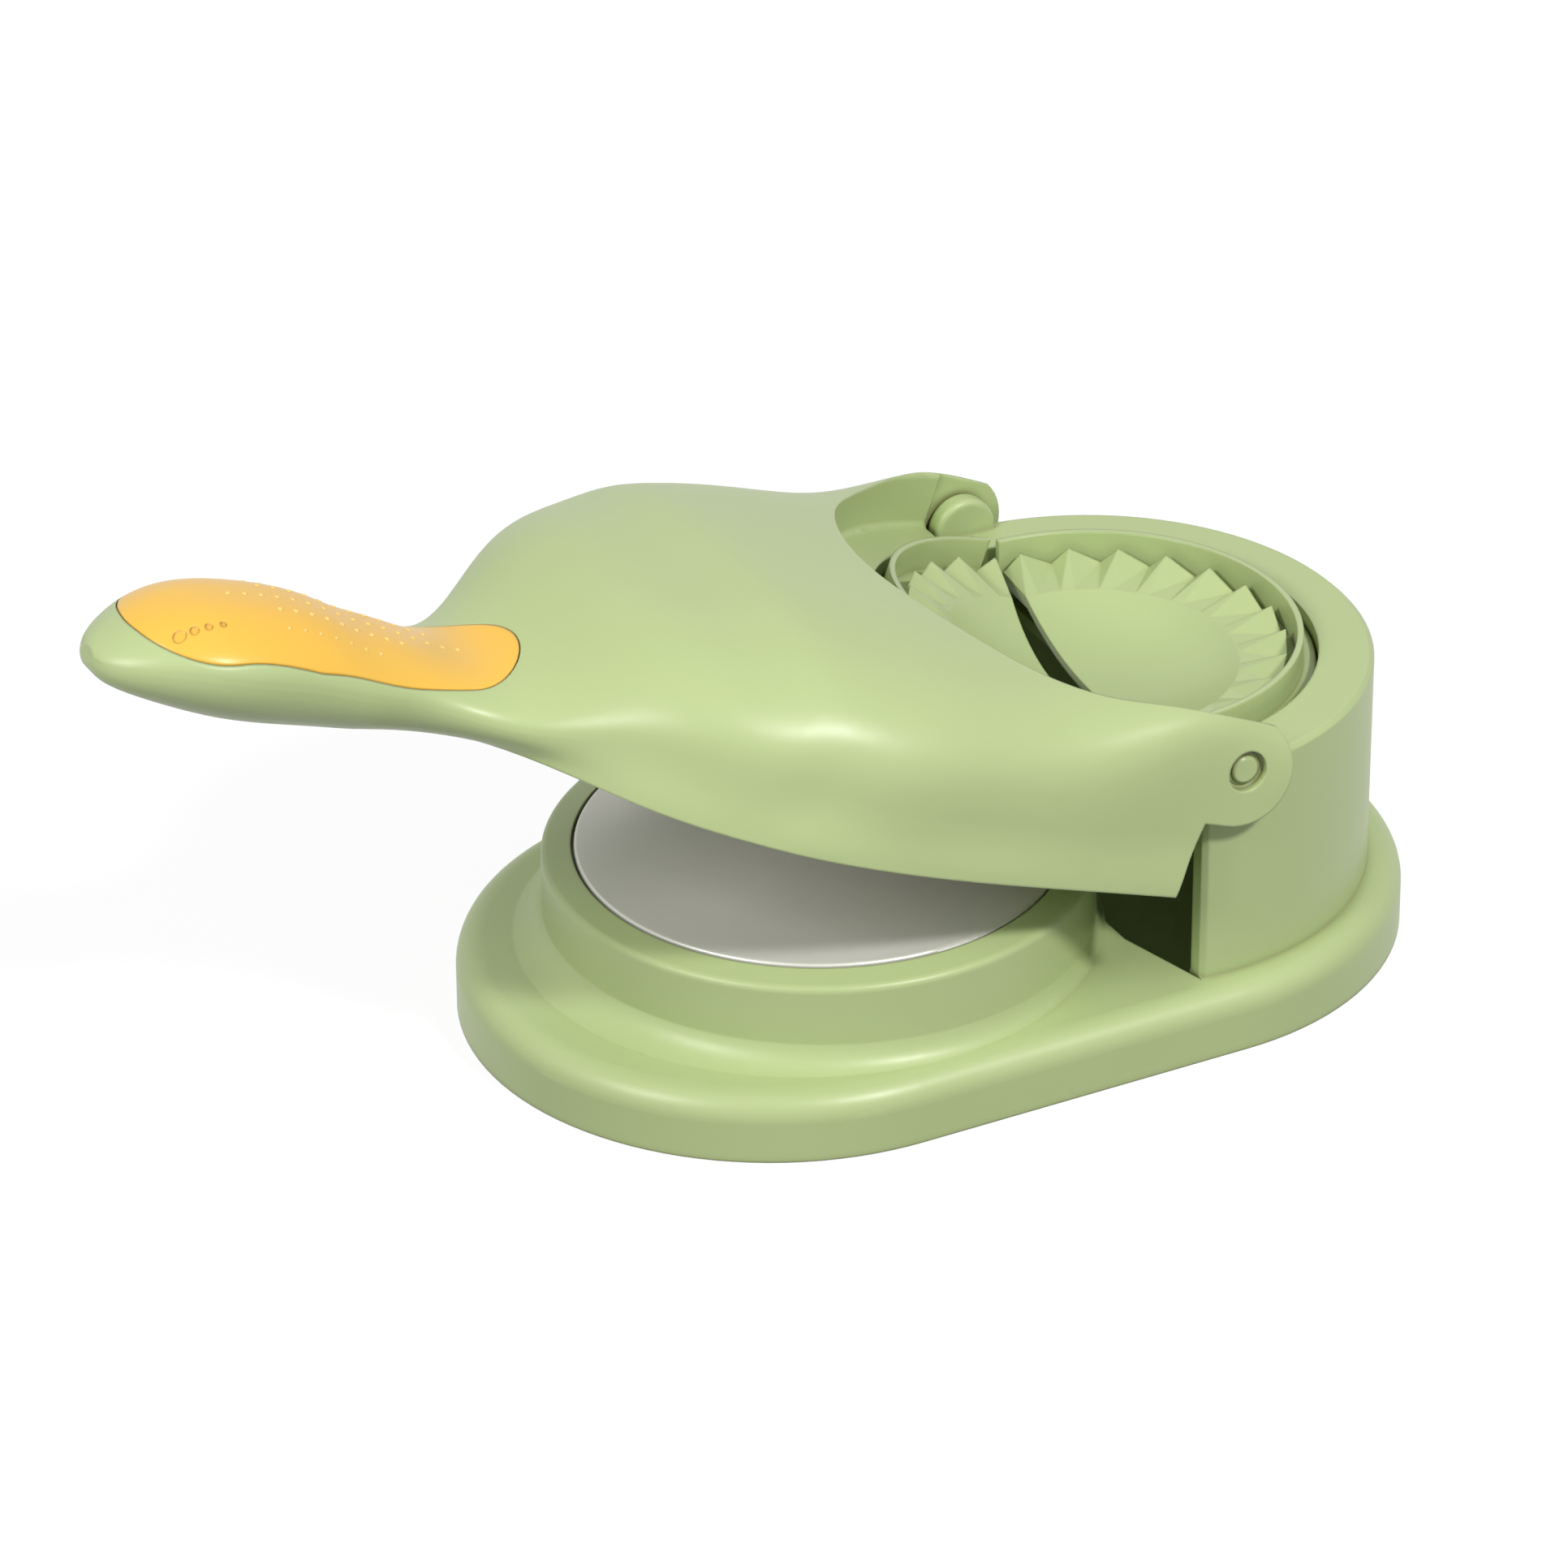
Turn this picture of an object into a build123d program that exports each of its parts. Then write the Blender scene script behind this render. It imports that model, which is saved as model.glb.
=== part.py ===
from build123d import *
import os
from math import cos, radians, sin, sqrt

# Two-in-one press for dough rounds and empanadas.
# Millimetres, +Z up, origin on the table under the centre of the press plate.
# The arm is drawn closed, in its own frame at the hinge axis, then raised to its rest angle.
# In that frame x runs along the arm, the handle is at -x, and z is 0 at the hinge axis.

# the dumpling that the two mould halves close on
BOWL_R = 25.8
BOWL_DEPTH = 11.5
BOWL_RIM_Z = -3.7
MOULD_T = 1.6
FOLD_GAP = 0.8
TEETH = 12
TOOTH_L = 8.4
TOOTH_OUTER_R = BOWL_R + TOOTH_L
TOOTH_TOP = 0.3
TOOTH_DEPTH = 2.9
TOOTH_FOOT = 0.9
TOOTH_SHIFT = 88.1
TOOTH_STEEP = 5.3

# the mould halves' lips, flanges and screw posts
LIP_T = 1.1
LIP_GROOVE = 1.6
LIP_STEP = 1.7
FIXED_LIP_R = TOOTH_OUTER_R + LIP_GROOVE + LIP_T
FIXED_LIP_TOP = 2.6
MOVING_LIP_R = FIXED_LIP_R + LIP_STEP
MOVING_LIP_TOP = 2.2
LIP_FLOOR = -3.6
MOULD_FLANGE_T = 1.8
FIXED_FLANGE_TOP = -3.2
MOVING_FLANGE_TOP = -4.6
MOULD_CLEAR = 0.4
POST_R = 3.0
POST_Y = 14.0
POST_X = 12.0
POST_END = -15.6
BRIDGE_T = 2.4
BRIDGE_W = 8.0

# mould drum on the base
RING_CLEAR = 1.0
RING_INNER_R = MOVING_LIP_R + RING_CLEAR
RING_W = 9.8
RING_T = 3.0
RING_DROP = 0.7
DRUM_R = RING_INNER_R + RING_W
DRUM_WALL = 3.9
DRUM_FRONT = 5.9
DRUM_EDGE = 0.9
SEAT_W = 2.4

# press plates, one steel dish on a foam pad on each side
PLATE_R = 43.0
PLATE_T = 0.7
PLATE_H = 1.6
PLATE_EDGE_R = 0.6
PLATE_GAP = 0.5
PLATE_PROUD = 0.4
PLATE_LIFT = 0.1
PAD_T = 1.1
PAD_CLEAR = 0.2
DOUGH_GAP = 1.6

# round platform under the lower plate
PLATFORM_RIM = 5.3
PLATFORM_R = PLATE_R + PLATE_GAP + PLATFORM_RIM
RIM_Z = 29.0
RIM_FALL = 1.0
RIM_ROUND = 1.2
FLARE_H = 6.0
FLARE_SIDE = 3.6
FLARE_FRONT = 8.0
FLARE_BACK = 1.6
FLARE_BITE = 0.15
FLARE_SINK = 0.25

# hinge and rest pose
WELL_SLIT = 0.3
PIVOT_X = PLATFORM_R + WELL_SLIT + DRUM_FRONT
PIVOT_Z = 54.5
REST_ANGLE = 20.2

# base casing
FOOT_DROP = 0.2
DRUM_INSET = 6.2
PLATFORM_INSET = 6.8
BASE_R = max(DRUM_R + DRUM_INSET, PLATFORM_R + PLATFORM_INSET)
BASE_LEFT_X = -9.4
FLANGE_TOP = 12.6
SHOULDER_R = 4.8
WALL = 2.6
WELL_L = 4.9
WELL_TAPER = 18.4
WELL_CLEAR = 1.6

# hinge pins, the drum's lugs and the arm's ears
PIN_R = 3.2
PIN_TIP_R = 2.6
PIN_RUNNING = 0.06
PIN_PRESS = 0.01
PIN_SUNK = 0.8
PIN_EDGE = 0.4
PIN_END_GAP = 0.1
LUG_R = 6.1
LUG_PROUD = 0.8
LUG_EDGE = 1.1
BORE_DEPTH = 3.2
EAR_R = 9.8
EAR_X = -0.5
EAR_DROP = 0.6
EAR_SHOULDER_R = 3.0
EAR_SHOULDER_X = -4.0
EAR_SHOULDER_DROP = 0.8
EAR_GAP = 0.3
EAR_T = 2.8
EAR_SINK_R = 3.7
EAR_SINK = 1.6

# arm
ARM_HALF_W = DRUM_R + LUG_PROUD + EAR_GAP + EAR_T
ARM_WALL = 2.4
SKIRT_Z = -24.1
RECESS_CLEAR = 1.1
RECESS_R = DRUM_R + RECESS_CLEAR
RECESS_FLOOR = -1.4
RECESS_FILLET = 1.4
RECESS_RIM_Z = 9.3
RECESS_RIM_ROUND = 1.5
RECESS_RIM_FLARE = 6.0
RECESS_RIM_RISE = 1.2
POCKET_CLEAR = 2.0
POCKET_R = MOVING_LIP_R + POCKET_CLEAR
CUP_WALL = 2.2
LEDGE_W = 2.4
LEDGE_T = 2.0
THROAT_RISE = 1.5
CHEEK_CLEAR = 5.0
REAR_X = -1.0
REAR_HALF_W = DRUM_R - CHEEK_CLEAR
NOTCH_X = -6.7
SKIRT_REAR_X = -5.0
SKIRT_REAR_SLANT = 1.6
COVER_T = 2.6
COVER_CLEAR = 0.3
COVER_FRONT = 58.0
NECK_SCREW = 50.0
SIDE_SCREW = 26.0
SIDE_SCREW_IN = 11.3
REAR_SCREW_X = -20.0

# yellow hand grip let into the handle, its places measured from the press plate's centre
GRIP_TAIL = 120.3
GRIP_TAIL_R = 15.3
GRIP_WAIST = 106.0
GRIP_WAIST_R = 15.5
GRIP_NECK = 74.5
GRIP_NECK_R = 12.5
GRIP_BOTTOM = -17.2
GRIP_CLEAR = 0.2
GRIP_WALL = 2.0
GRIP_SCREWS = (115.0, 87.0)
DIMPLES = ((129.9, 1.1), (127.5, 0.8), (125.1, 0.7), (122.6, 0.6))
DIMPLE_Y = -8.7
DIMPLE_DEPTH = 0.4

# screws, feet and bottom cover
SCREW_R = 1.2
SCREW_HOLE_R = 1.25
SCREW_L = 8.0
SCREW_PASS = 0.2
HEAD_R = 2.6
HEAD_H = 1.2
HEAD_CLEAR = 0.2
CROSS_L = 2.6
CROSS_W = 0.6
CROSS_DEPTH = 0.7
BOSS_R = 3.4
BOSS_SINK = 1.2
BOSS_TOP_IN = 0.5
PLATFORM_SCREWS = (115, 180, 245)
DRUM_SCREWS = (-60, 0, 60)
BASE_COVER_T = 2.4
BASE_COVER_SINK = 0.8
FOOT_R = 7.0
FOOT_EDGE = 0.5
FOOT_SEAT = 0.8
FOOT_FROM_END = 22.8
FOOT_FROM_SIDE = 28.6

# Cross-sections of the handle, from its tip to its neck: distance from the press plate's
# centre, half width, crown, underside, half width of the flat below, fullness of the top,
# roundness of the underside, height of the widest place as a share of the depth
HANDLE_SECTIONS = (
    (-140.6, 2.2, -20.2, -22.9, 0.7, 0.50, 1.0, 0.50),
    (-138.5, 6.4, -17.7, -24.8, 2.2, 0.50, 1.0, 0.50),
    (-133.0, 11.3, -13.1, -26.0, 3.8, 0.50, 1.0, 0.50),
    (-125.0, 15.2, -9.4, -26.9, 5.0, 0.50, 1.0, 0.50),
    (-114.0, 16.6, -8.0, -27.6, 5.5, 0.50, 1.0, 0.50),
    (-102.0, 16.1, -8.7, -27.4, 5.4, 0.50, 1.0, 0.50),
    (-90.0, 15.0, -11.2, -27.0, 5.2, 0.50, 1.0, 0.50),
    (-78.5, 15.4, -13.4, -26.3, 6.5, 0.51, 0.9, 0.50),
    (-67.5, 20.4, -13.3, -25.0, 15.0, 0.53, 0.5, 0.46),
)

# Cross-sections of the head, on to the hinge: distance from the press plate's centre, how
# far the side stands in from the ears' outer faces, crown, spread of the skirt, fullness
# of the top, height of the widest place
HEAD_SECTIONS = (
    (-55.3, 22.3, -3.2, 0.3, 0.58, 0.42),
    (-43.2, 11.5, 4.2, 0.8, 0.625, 0.35),
    (-31.0, 5.3, 7.5, 1.1, 0.65, 0.33),
    (-17.0, 1.0, 9.4, 1.0, 0.685, 0.31),
    (-0.2, -0.7, 9.3, 1.2, 0.72, 0.30),
    (18.5, -0.7, 8.7, 1.3, 0.79, 0.30),
    (36.3, -0.3, 10.9, 1.1, 0.95, 0.30),
)
EAR_CROWN = 12.6
EAR_PAST_ROUND = 1.5
EAR_SPREADS = ((0.0, 0.9), (EAR_R + EAR_PAST_ROUND, 0.7))
EAR_SIDE = 0.30

ring_top = PIVOT_Z - RING_DROP
plate_top = RIM_Z + PLATE_PROUD
deck = plate_top - PLATE_T - PAD_T
cover_bottom = FOOT_DROP + BASE_COVER_SINK
cover_top = cover_bottom + BASE_COVER_T
well_r = PLATFORM_R + WELL_CLEAR
drum_front_x = PIVOT_X - DRUM_FRONT
ear_inner_y = ARM_HALF_W - EAR_T
lug_outer_y = DRUM_R + LUG_PROUD
upper_face = plate_top + DOUGH_GAP - PIVOT_Z
arm_cover_bottom = upper_face + PLATE_H - PLATE_T + PLATE_LIFT
arm_cover_top = arm_cover_bottom + COVER_T
bowl_rise = BOWL_RIM_Z + BOWL_DEPTH
bowl_sphere_r = (BOWL_R**2 + bowl_rise**2) / (2 * bowl_rise)
bowl_centre_z = bowl_sphere_r - BOWL_DEPTH
bridge_low = POST_END - BRIDGE_T
hole_r = SCREW_HOLE_R + SCREW_PASS
head_hole_r = HEAD_R + HEAD_CLEAR
beyond = 2 * PIVOT_Z


def disc(r, low, high, x=0.0, y=0.0):
    return Pos(x, y, low) * Cylinder(r, high - low, align=(Align.CENTER, Align.CENTER, Align.MIN))


def block(x0, x1, y0, y1, low, high):
    return Pos(x0, y0, low) * Box(x1 - x0, y1 - y0, high - low, align=(Align.MIN, Align.MIN, Align.MIN))


def side_bar(x0, x1, half_y, low, high):
    return block(x0, x1, -half_y, half_y, low, high)


def cross_disc(r, y0, y1, x=0.0, z=0.0):
    """A round bar along Y, between two heights on that axis given in either order."""
    low, high = sorted((y0, y1))
    start = Plane(origin=(x, low, z), x_dir=(1, 0, 0), z_dir=(0, 1, 0))
    return extrude(start * Circle(r), high - low)


def stadium(r, low, high):
    middle = (BASE_LEFT_X + PIVOT_X) / 2
    slot = Pos(middle, 0, low) * SlotCenterToCenter(PIVOT_X - BASE_LEFT_X, 2 * r)
    return extrude(slot, high - low)


def turned(points):
    """A ring turned about Z from its half-section in the XZ plane."""
    return revolve(make_face(Polyline([(x, 0, z) for x, z in points], close=True)), Axis.Z)


def polar(r, degrees, x=0.0):
    return x + r * cos(radians(degrees)), r * sin(radians(degrees))


def screw(length):
    """A pan-head screw that points up, with its head's seat at z = 0."""
    body = disc(HEAD_R, -HEAD_H, 0) + disc(SCREW_R, -HEAD_H / 2, length)
    slot = side_bar(-CROSS_L / 2, CROSS_L / 2, CROSS_W / 2, -beyond, -HEAD_H + CROSS_DEPTH)
    return body - slot - Rot(0, 0, 90) * slot


def screws(places, seat, length):
    return Compound(children=[Pos(x, y, seat) * screw(length) for x, y in places])


# base ---------------------------------------------------------------------------------

foot_x = (BASE_LEFT_X - BASE_R + FOOT_FROM_END, PIVOT_X + BASE_R - FOOT_FROM_END)
foot_y = BASE_R - FOOT_FROM_SIDE
foot_places = [(x, y) for x in foot_x for y in (-foot_y, foot_y)]
platform_boss_r = PLATFORM_R - WALL - BOSS_R + BOSS_SINK
drum_boss_r = DRUM_R - DRUM_WALL - BOSS_R + BOSS_SINK
platform_screw_places = [polar(platform_boss_r, angle) for angle in PLATFORM_SCREWS]
drum_screw_places = [polar(drum_boss_r, angle, PIVOT_X) for angle in DRUM_SCREWS]
base_screw_places = platform_screw_places + drum_screw_places


def platform_flare():
    """The concave foot of the round platform, wider towards the handle's end."""
    wires = []
    start_r = PLATFORM_R - FLARE_BITE
    for step in (0.0, 0.08, 0.22, 0.42, 0.68, 1.0):
        spread = 1 - sqrt(1 - (1 - step) ** 2)
        front = start_r + FLARE_FRONT * spread
        back = start_r + FLARE_BACK * spread
        side = start_r + FLARE_SIDE * spread
        place = Pos((back - front) / 2, 0, FLANGE_TOP - FLARE_SINK + FLARE_H * step)
        wires.append(place * Ellipse((front + back) / 2, side))
    return loft(wires)


def platform():
    body = turned([
        (0, FOOT_DROP),
        (PLATFORM_R, FOOT_DROP),
        (PLATFORM_R, RIM_Z - RIM_FALL),
        (PLATE_R + PLATE_GAP, RIM_Z),
        (0, RIM_Z),
    ])
    rim = body.edges().filter_by(GeomType.CIRCLE).group_by(Axis.Z)[-2]
    return fillet(rim, RIM_ROUND)


def drum():
    """The horseshoe that carries the fixed mould half, open towards the press plate."""
    body = disc(DRUM_R, FOOT_DROP, ring_top, PIVOT_X)
    body = chamfer(body.edges().group_by(Axis.Z)[-1], DRUM_EDGE)
    body -= side_bar(-beyond, drum_front_x, beyond, 0, beyond)
    front = body.faces().sort_by(Axis.X)[0].edges().filter_by(Axis.Z)
    return chamfer(front, DRUM_EDGE)


def drum_hollow():
    """The drum's inside, less the rebate in its top ring that the fixed mould rests on."""
    inner_r = DRUM_R - DRUM_WALL
    seat_z = PIVOT_Z + FIXED_FLANGE_TOP - MOULD_FLANGE_T
    behind_fold = side_bar(PIVOT_X + FOLD_GAP, PIVOT_X + beyond, beyond, 0, beyond)
    hollow = disc(inner_r, 0, ring_top - RING_T, PIVOT_X) + disc(RING_INNER_R, 0, beyond, PIVOT_X)
    ring = disc(RING_INNER_R + SEAT_W, seat_z - LEDGE_T, ring_top, PIVOT_X)
    ring -= disc(RING_INNER_R, seat_z, beyond, PIVOT_X)
    ring -= disc(RING_INNER_R - SEAT_W, 0, beyond, PIVOT_X)
    hollow -= ring & behind_fold
    mouth = side_bar(drum_front_x - 1, PIVOT_X + FOLD_GAP, inner_r, FLANGE_TOP, beyond)
    return hollow + mouth & side_bar(drum_front_x - 1, PIVOT_X + beyond, beyond, 0, beyond)


def base_well():
    """The well between the platform and the drum that the arm's rear end dips into."""
    near_x = drum_front_x - WELL_L
    near_y = DRUM_R - WELL_TAPER
    corners = [(near_x, -near_y), (drum_front_x, -DRUM_R), (drum_front_x, DRUM_R), (near_x, near_y)]
    outline = make_face(Polyline([Vector(x, y, cover_top) for x, y in corners], close=True))
    return extrude(outline, beyond, dir=(0, 0, 1)) - disc(well_r, 0, beyond)


def pivot_lug(side):
    """An upright round lug on the drum's wall, bored for a hinge pin."""
    inner_y, outer_y = sorted((side * (DRUM_R - DRUM_WALL + LUG_PROUD), side * lug_outer_y))
    lug = cross_disc(LUG_R, inner_y, outer_y, PIVOT_X, PIVOT_Z)
    lug = fillet(lug.edges().filter_by(GeomType.CIRCLE), LUG_EDGE)
    neck = block(drum_front_x, PIVOT_X + DRUM_FRONT, inner_y, outer_y, ring_top - LUG_R, PIVOT_Z)
    return lug + (neck & disc(DRUM_R, 0, beyond, PIVOT_X))


def pin_bore(side):
    inner_y, outer_y = side * (lug_outer_y - BORE_DEPTH), side * (lug_outer_y + 1)
    return cross_disc(PIN_R + PIN_PRESS, inner_y, outer_y, PIVOT_X, PIVOT_Z)


def base_shell():
    flange = stadium(BASE_R, FOOT_DROP, FLANGE_TOP)
    flange = fillet(flange.edges().group_by(Axis.Z)[-1], SHOULDER_R)
    under = stadium(BASE_R - WALL, 0, FLANGE_TOP - WALL)
    under -= disc(well_r, cover_top, FLANGE_TOP)
    under -= disc(DRUM_R, cover_top, FLANGE_TOP, PIVOT_X)
    body = flange - under + drum() - drum_hollow() - base_well()
    body += disc(well_r, cover_top, FLANGE_TOP) + platform()
    body += platform_flare()
    body -= disc(PLATFORM_R - WALL, 0, deck - WALL)
    body -= disc(PLATE_R + PLATE_GAP, deck, beyond)
    body -= stadium(BASE_R - WALL, 0, cover_top)
    bridge_x = PIVOT_X + POST_X
    low, high = PIVOT_Z + bridge_low, PIVOT_Z + POST_END
    bridge = side_bar(bridge_x - BRIDGE_W / 2, bridge_x + BRIDGE_W / 2, beyond, low, high)
    body += bridge & disc(DRUM_R - 1, 0, beyond, PIVOT_X)
    for x, y in platform_screw_places:
        body += disc(BOSS_R, cover_top, deck, x, y)
    for x, y in drum_screw_places:
        body += disc(BOSS_R, cover_top, cover_top + SCREW_L + WALL, x, y)
    for x, y in base_screw_places:
        body -= disc(SCREW_HOLE_R, cover_top - 1, cover_top + SCREW_L, x, y)
    for side in (-1, 1):
        body += pivot_lug(side)
        body -= pin_bore(side)
        body -= disc(hole_r, low - 1, high + 1, bridge_x, side * POST_Y)
    return body


def bottom_cover():
    cover = stadium(BASE_R - WALL - COVER_CLEAR, cover_bottom, cover_top)
    for x, y in base_screw_places:
        cover -= disc(head_hole_r, 0, cover_bottom + HEAD_H + HEAD_CLEAR, x, y)
        cover -= disc(hole_r, 0, beyond, x, y)
    for x, y in foot_places:
        cover -= disc(FOOT_R + HEAD_CLEAR, 0, cover_bottom + FOOT_SEAT, x, y)
    return cover


def foot(x, y):
    pad = disc(FOOT_R, 0, cover_bottom + FOOT_SEAT, x, y)
    return fillet(pad.edges().group_by(Axis.Z)[0], FOOT_EDGE)


def pressed_plate():
    """A shallow steel dish with its rounded face up, at z = 0."""
    plate = fillet(disc(PLATE_R, -PLATE_H, 0).edges().group_by(Axis.Z)[-1], PLATE_EDGE_R)
    return plate - disc(PLATE_R - PLATE_T, -PLATE_H - 1, -PLATE_T)


def plate_pad():
    return disc(PLATE_R - PLATE_T - PAD_CLEAR, -PLATE_T - PAD_T, -PLATE_T)


def pivot_pin(side):
    """A stub pin pressed into a lug, with a slimmer tip that shows in the ear's hole."""
    inner_y = side * (lug_outer_y - BORE_DEPTH + PIN_END_GAP)
    pin = cross_disc(PIN_R, inner_y, side * (ARM_HALF_W - EAR_SINK), PIVOT_X, PIVOT_Z)
    tip = cross_disc(PIN_TIP_R, inner_y, side * (ARM_HALF_W - PIN_SUNK), PIVOT_X, PIVOT_Z)
    return pin + chamfer(tip.edges().filter_by(GeomType.CIRCLE), PIN_EDGE)


# mould halves -------------------------------------------------------------------------

fold_side = block(FOLD_GAP, beyond, -beyond, beyond, -beyond, beyond)


def tooth(peak, valley_before, valley_after):
    """One crimping tooth: a ridge that runs down and in, to nothing at the bowl's rim."""
    foot_z = BOWL_RIM_Z - TOOTH_FOOT
    valley_z = TOOTH_TOP - TOOTH_DEPTH
    inner_z = BOWL_RIM_Z - 0.05
    angles = (valley_before, peak, valley_after)

    def row(r, heights):
        return [Vector(*polar(r, angle), z) for angle, z in zip(angles, heights)]

    a, p, b = row(TOOTH_OUTER_R, (valley_z, TOOTH_TOP, valley_z))
    c, q, d = row(BOWL_R, (inner_z, inner_z, inner_z))
    a0, p0, b0 = row(TOOTH_OUTER_R, (foot_z, foot_z, foot_z))
    c0, q0, d0 = row(BOWL_R, (foot_z, foot_z, foot_z))
    rims = (
        (a, p, q), (a, q, c), (p, b, d), (p, d, q),
        (a0, q0, p0), (a0, c0, q0), (p0, d0, b0), (p0, q0, d0),
        (a, a0, p0), (a, p0, p), (p, p0, b0), (p, b0, b),
        (c, q, q0), (c, q0, c0), (q, d, d0), (q, d0, q0),
        (a, c, c0), (a, c0, a0), (b, b0, d0), (b, d0, d),
    )
    return Solid(Shell([Face(Wire(Polyline(rim, close=True).edges())) for rim in rims]))


def mould_profile(lip_r, lip_top, flange_top, flange_r):
    """The half-section of a mould half: flange, lip, step for the teeth, and dished bowl."""
    low = flange_top - MOULD_FLANGE_T
    step_z = TOOTH_TOP - TOOTH_DEPTH - 0.3
    top = [
        (flange_r, 0, low), (flange_r, 0, flange_top), (lip_r, 0, flange_top), (lip_r, 0, lip_top),
        (lip_r - LIP_T, 0, lip_top), (lip_r - LIP_T, 0, LIP_FLOOR), (TOOTH_OUTER_R, 0, LIP_FLOOR),
        (TOOTH_OUTER_R, 0, step_z), (BOWL_R, 0, BOWL_RIM_Z),
    ]
    bowl_end, skin_end = (0, 0, -BOWL_DEPTH), (0, 0, -BOWL_DEPTH - MOULD_T)
    skin_r = bowl_sphere_r + MOULD_T
    skin_x = BOWL_R - MOULD_T / 3
    skin_start = (skin_x, 0, bowl_centre_z - sqrt(skin_r**2 - skin_x**2))

    def halfway(r):
        return r * sin(radians(15)), 0, bowl_centre_z - r * cos(radians(15))

    under = [skin_start, (TOOTH_OUTER_R, 0, LIP_FLOOR - MOULD_T), (lip_r - LIP_T, 0, low), top[0]]
    return make_face([
        Polyline(top),
        ThreePointArc(top[-1], halfway(bowl_sphere_r), bowl_end),
        Line(bowl_end, skin_end),
        ThreePointArc(skin_end, halfway(skin_r), skin_start),
        Polyline(under),
    ])


def mould_half(lip_r, lip_top, flange_top, flange_r, peaks_first):
    """A toothed half mould turned about Z, kept on the +x side of the fold."""
    half = revolve(mould_profile(lip_r, lip_top, flange_top, flange_r), Axis.Z) & fold_side
    pitch = 180 / TEETH
    for n in range(TEETH + 1):
        valley = TOOTH_SHIFT - TOOTH_STEEP - n * pitch
        if peaks_first:
            ridge = tooth(valley + TOOTH_STEEP, valley, valley + pitch)
        else:
            ridge = tooth(valley + pitch, valley + TOOTH_STEEP, valley + pitch + TOOTH_STEEP)
        half += ridge & fold_side
    ball = Pos(0, 0, bowl_centre_z) * Sphere(bowl_sphere_r + MOULD_T / 2)
    for y in (-POST_Y, POST_Y):
        half += disc(POST_R, POST_END, BOWL_RIM_Z, POST_X, y) - ball
        half -= disc(SCREW_HOLE_R, POST_END - 1, POST_END + SCREW_L - BRIDGE_T, POST_X, y)
    return half


def fixed_mould():
    half = mould_half(FIXED_LIP_R, FIXED_LIP_TOP, FIXED_FLANGE_TOP, RING_INNER_R - MOULD_CLEAR, False)
    return Pos(PIVOT_X, 0, PIVOT_Z) * half


def moving_mould():
    half = mould_half(MOVING_LIP_R, MOVING_LIP_TOP, MOVING_FLANGE_TOP, POCKET_R - MOULD_CLEAR, True)
    return half.mirror(Plane.YZ)


# arm, drawn closed about the hinge axis ----------------------------------------------

cover_front_x = -PIVOT_X - COVER_FRONT
grip_screw_xs = [-PIVOT_X - distance for distance in GRIP_SCREWS]
neck_x = HANDLE_SECTIONS[-1][0] - PIVOT_X
side_screw_y = ARM_HALF_W - SIDE_SCREW_IN
rear_screw_y = REAR_HALF_W - BOSS_SINK
arm_screw_places = [
    (-PIVOT_X - NECK_SCREW, 0.0),
    (-PIVOT_X - SIDE_SCREW, -side_screw_y),
    (-PIVOT_X - SIDE_SCREW, side_screw_y),
    (REAR_SCREW_X, -rear_screw_y),
    (REAR_SCREW_X, rear_screw_y),
]


def arm_rows():
    """All the arm's cross-sections in one form, placed from the hinge axis."""
    rows = [(row[0] - PIVOT_X, *row[1:]) for row in HANDLE_SECTIONS]
    for distance, inset, crown, spread, full, share in HEAD_SECTIONS:
        half_w = ARM_HALF_W - inset
        rows.append((distance - PIVOT_X, half_w, crown, SKIRT_Z, half_w + spread, full, 0.0, share))
    for x, spread in EAR_SPREADS:
        rows.append((x, ARM_HALF_W, EAR_CROWN, SKIRT_Z, ARM_HALF_W + spread, 1.0, 0.0, EAR_SIDE))
    return rows


def arm_section(x, half_w, crown, low, flat, full, rounded, side_share):
    """A closed cross-section of the arm: two full shoulders over a flat or rounded underside."""
    widest = low + (crown - low) * side_share
    rise, fall = crown - widest, widest - low
    knee = 0.06 + 0.54 * full
    belly = 0.55 * (half_w - flat) * rounded
    lift = fall * (1 - rounded) / 3

    def mirrored(side):
        top = [
            (half_w, widest), (half_w, widest + knee * rise), (half_w, widest + full * rise),
            (full * half_w, crown), (knee * half_w, crown), (0, crown),
        ]
        bottom = [(half_w, widest), (half_w, widest - fall * 0.5), (flat + belly, low + lift), (flat, low)]
        return [Bezier(*[(x, side * y, z) for y, z in row]) for row in (top, bottom)]

    top_a, bottom_a = mirrored(1)
    top_b, bottom_b = mirrored(-1)
    floor = Line((x, flat, low), (x, -flat, low))
    return make_face([top_a, top_b, bottom_b, floor, bottom_a])


def arm_body(inset):
    """The arm's outer form, or that form shrunk by a wall."""
    faces = []
    for x, half_w, crown, low, flat, full, rounded, share in arm_rows():
        if inset and half_w < 3 * inset:
            continue
        head = x >= neck_x + 1
        floor = low - inset if inset and head else low + inset
        flat_w = max(flat - inset, inset / 4)
        faces.append(arm_section(x, half_w - inset, crown - inset, floor, flat_w, full, rounded, share))
    return loft(faces)


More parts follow.
